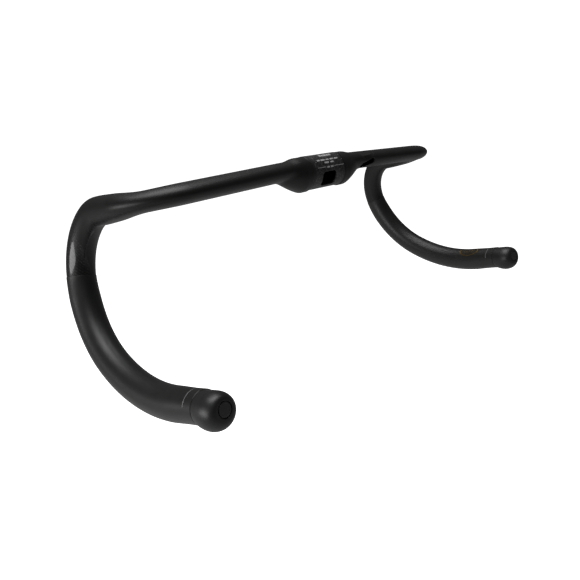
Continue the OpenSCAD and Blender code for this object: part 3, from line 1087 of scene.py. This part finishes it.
def clamp_grip():
    """Gritty satin weave of the clamp zone, with a darker smooth band by each end."""
    paint = Paint("clamp_grip", Specular_IOR_Level=0.5)
    split = paint.node("SeparateXYZ", Vector=paint.place())
    from_middle = paint.math("ABSOLUTE", split)
    band = paint.remap(from_middle, 0.0188, 0.0192)
    over, shade, ridge = twill(paint, 2 * math.pi * CLAMP_R, 1.1)
    grit = paint.noise(1500, 4, 0.7)
    tow = paint.blend(over, grey(0.006, 0.01), grey(0.02, -0.01))
    glint = paint.remap(paint.math("MULTIPLY", grit, shade), 0.3, 0.55)
    speck = paint.blend(glint, tow, grey(0.075))
    colour = paint.blend(band, speck, grey(0.0045))
    height = paint.math("ADD", grit, paint.math("MULTIPLY", ridge, 0.6))
    return paint.use(
        Base_Color=colour,
        Roughness=paint.levels(band, paint.remap(grit, 0.3, 0.7, 0.42, 0.6), 0.5),
        Normal=paint.bump(height, 0.4, 0.00008),
    )


def raw_carbon():
    paint = Paint("raw_carbon", Specular_IOR_Level=0.4)
    strands = paint.node(
        "TexNoise", Vector=paint.node("Mapping", Vector=paint.place(), Scale=(1, 1, 9)),
        Scale=420, Detail=3,
    )
    colour = paint.blend(paint.remap(strands, 0.35, 0.65), grey(0.012), grey(0.045))
    return paint.use(
        Base_Color=colour, Roughness=paint.remap(strands, 0.3, 0.7, 0.5, 0.75),
        Normal=paint.bump(strands, 0.3, 0.00008),
    )


def soft_plastic(name, dark, light, rough, grain_scale=1500):
    """Moulded rubber or plastic: slight clouding and a fine grain."""
    paint = Paint(name, Specular_IOR_Level=0.5)
    cloud = paint.noise(60, 3)
    grain = paint.noise(grain_scale, 3)
    colour = paint.blend(paint.remap(cloud, 0.3, 0.7), grey(dark), grey(light))
    return paint.use(
        Base_Color=colour,
        Roughness=paint.remap(cloud, 0.3, 0.7, rough - 0.04, rough + 0.04),
        Normal=paint.bump(grain, 0.15, 0.00004),
    )


def metal(name, colour_a, colour_b, rough):
    """Machined metal with fine turning marks."""
    paint = Paint(name, Metallic=1.0)
    marks = paint.node(
        "TexNoise", Vector=paint.node("Mapping", Vector=paint.place(), Scale=(1, 12, 1)),
        Scale=900, Detail=2,
    )
    colour = paint.blend(paint.remap(marks, 0.3, 0.7), colour_a, colour_b)
    return paint.use(
        Base_Color=colour, Roughness=paint.remap(marks, 0.3, 0.7, rough - 0.06, rough + 0.08),
        Normal=paint.bump(marks, 0.1, 0.00003),
    )


def ink(name, colour_a, colour_b, rough=0.45, shine=0.0):
    """Printed ink or foil with a slight wear in it."""
    paint = Paint(name, Metallic=shine)
    wear = paint.noise(900, 3, 0.6)
    return paint.use(
        Base_Color=paint.blend(paint.remap(wear, 0.35, 0.6), colour_a, colour_b),
        Roughness=paint.remap(wear, 0.3, 0.7, rough, rough + 0.12),
    )


LOOKS = {
    "matt_carbon": matt_carbon(),
    "hook_carbon": hook_carbon(),
    "clamp_grip": clamp_grip(),
    "raw_carbon": raw_carbon(),
    "plug_rubber": soft_plastic("plug_rubber", 0.009, 0.012, 0.44),
    "tip_plastic": soft_plastic("tip_plastic", 0.020, 0.028, 0.42, 900),
    "expander_nylon": soft_plastic("expander_nylon", 0.045, 0.06, 0.5),
    "black_steel": metal("black_steel", grey(0.05), grey(0.09), 0.38),
    "zinc_steel": metal("zinc_steel", grey(0.5, 0.01), grey(0.62, 0.01), 0.32),
    "anodised_aluminium": metal("anodised_aluminium", grey(0.2), grey(0.28), 0.36),
    "label_ink": ink("label_ink", grey(0.42), grey(0.62)),
    "mark_ink": ink("mark_ink", grey(0.16), grey(0.24), 0.35),
    "badge_base": ink("badge_base", (0.012, 0.009, 0.005, 1), (0.02, 0.015, 0.008, 1), 0.3),
    "badge_gold": ink(
        "badge_gold", (0.16, 0.105, 0.03, 1), (0.26, 0.18, 0.06, 1), 0.3, 0.8
    ),
}


def dress(obj, look):
    obj.data.materials.clear()
    obj.data.materials.append(LOOKS[look])


def put(obj, look, body, slot, *nodes):
    """Finish a piece: its material, the body that it rides on, and the nodes it stands for."""
    dress(obj, look)
    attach(obj, body)
    if nodes:
        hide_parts(*nodes)


# ---------------------------------------------------------------- pieces
put(clamp_shell(), "clamp_grip", "bar", "clamp_weave", "clamp_section")
put(clamp_label(), "label_ink", "bar", "clamp_weave")
for hand, side in SIDES.items():
    slotted = hand == "right"
    put(top_shell(f"{hand}_top_shell", side, slotted), "hook_carbon", "bar", "matt_carbon",
        f"{hand}_top")
    put(lever_shell(f"{hand}_lever_shell", side), "hook_carbon", "bar", "gloss_weave",
        f"{hand}_lever_bend")
    put(drop_shell(f"{hand}_drop_shell", side), "matt_carbon", "bar", "matt_carbon",
        f"{hand}_drop")
    put(plug_head(f"{hand}_plug_dome", side), "plug_rubber", f"{hand}_plug", "plug_rubber",
        f"{hand}_plug_head")
    put(tip_cap(f"{hand}_tip_disc", side), "tip_plastic", f"{hand}_tip_cap", "tip_plastic",
        f"{hand}_tip_cap")
    put(cut_mark(f"{hand}_cut_mark", side), "mark_ink", "bar", "matt_carbon")
put(badge_plate("right_badge_plate"), "badge_base", "bar", "matt_carbon")
put(badge_ornament("right_badge_ornament"), "badge_gold", "bar", "matt_carbon")

INNER_LOOKS = {
    "centre_splice": "raw_carbon",
    "lever_splice": "raw_carbon",
    "drop_splice": "raw_carbon",
    "plug_bolt": "black_steel",
    "bolt_washer": "zinc_steel",
    "expander": "expander_nylon",
    "wedge_nut": "anodised_aluminium",
}
for hand in SIDES:
    for part, look in INNER_LOOKS.items():
        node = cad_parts[f"{hand}_{part}"]
        for slot in node.material_slots:
            slot.material = LOOKS[look]

# ---------------------------------------------------------------- camera, lights and floor
CAMERA_AT = Vector((-0.33720, -0.33144, 0.05102))
YAW = math.radians(41.09)
LOOK_DOWN = math.radians(19.92)
ROLL = math.radians(-4.36)
SENSOR = 36
FOCAL = 29.52

ahead = Vector((
    math.sin(YAW) * math.cos(LOOK_DOWN), math.cos(YAW) * math.cos(LOOK_DOWN), -math.sin(LOOK_DOWN)
))
level = Vector((math.cos(YAW), -math.sin(YAW), 0))
above = level.cross(ahead)
right = level * math.cos(ROLL) + above * math.sin(ROLL)
up = -level * math.sin(ROLL) + above * math.cos(ROLL)
camera_data = bpy.data.cameras.new("camera")
camera_data.sensor_width = SENSOR
camera_data.lens = FOCAL
camera_data.clip_start = 0.01
camera_data.clip_end = 50
camera = bpy.data.objects.new("camera", camera_data)
camera.matrix_world = Matrix((
    (right.x, up.x, -ahead.x, CAMERA_AT.x),
    (right.y, up.y, -ahead.y, CAMERA_AT.y),
    (right.z, up.z, -ahead.z, CAMERA_AT.z),
    (0, 0, 0, 1),
))
bpy.context.scene.collection.objects.link(camera)
bpy.context.scene.camera = camera


def softbox(name, at, target, width, height, power, shape="RECTANGLE"):
    lamp = bpy.data.lights.new(name, "AREA")
    lamp.shape = shape
    lamp.size = width
    lamp.size_y = height
    lamp.energy = power
    obj = bpy.data.objects.new(name, lamp)
    obj.location = at
    obj.rotation_euler = (Vector(target) - Vector(at)).to_track_quat("-Z", "Y").to_euler()
    bpy.context.scene.collection.objects.link(obj)


softbox("top_box", (-0.1, 0.4, 1.5), (-0.05, 0, 0), 1.4, 1.1, 23)
softbox("side_box", (-0.85, 0.08, -0.035), (-0.21, 0.08, -0.05), 0.66, 0.23, 2.6, "ELLIPSE")

# The backdrop is white where it is seen, and dim as a light, as a studio with black flags is.
world = bpy.data.worlds.new("studio")
world.use_nodes = True
bpy.context.scene.world = world
tree = world.node_tree
seen = tree.nodes["Background"]
seen.inputs["Color"].default_value = (1, 1, 1, 1)
seen.inputs["Strength"].default_value = 1.1
felt = tree.nodes.new("ShaderNodeBackground")
felt.inputs["Color"].default_value = (1, 1, 1, 1)
felt.inputs["Strength"].default_value = 0.09
rays = tree.nodes.new("ShaderNodeLightPath")
either = tree.nodes.new("ShaderNodeMixShader")
tree.links.new(rays.outputs["Is Camera Ray"], either.inputs[0])
tree.links.new(felt.outputs[0], either.inputs[1])
tree.links.new(seen.outputs[0], either.inputs[2])
tree.links.new(either.outputs[0], tree.nodes["World Output"].inputs["Surface"])
bpy.context.scene.view_settings.view_transform = "Standard"

# A pale floor well below the bar, which hangs in a stem.
FLOOR_DROP = 0.35
FLOOR_HALF = 12
floor_z = cad_low[2] - FLOOR_DROP
floor_corners = [
    (x * FLOOR_HALF, y * FLOOR_HALF, floor_z) for x, y in ((-1, -1), (1, -1), (1, 1), (-1, 1))
]
floor_mesh = bpy.data.meshes.new("floor")
floor_mesh.from_pydata(floor_corners, [], [(0, 1, 2, 3)])
floor = bpy.data.objects.new("floor", floor_mesh)
bpy.context.scene.collection.objects.link(floor)
paper = Paint("floor_paper", Specular_IOR_Level=0.2, Roughness=0.9)
paper.shader.inputs["Emission Color"].default_value = (1, 1, 1, 1)
seen_only = paper.node("LightPath")
glow = paper.levels(seen_only, 0.08, 1.1)
paper.tree.links.new(glow, paper.shader.inputs["Emission Strength"])
shade = paper.blend(paper.noise(3, 2), grey(0.60), grey(0.64))
paper.use(Base_Color=paper.blend(seen_only, shade, grey(0.92)))
floor_mesh.materials.append(paper.material)
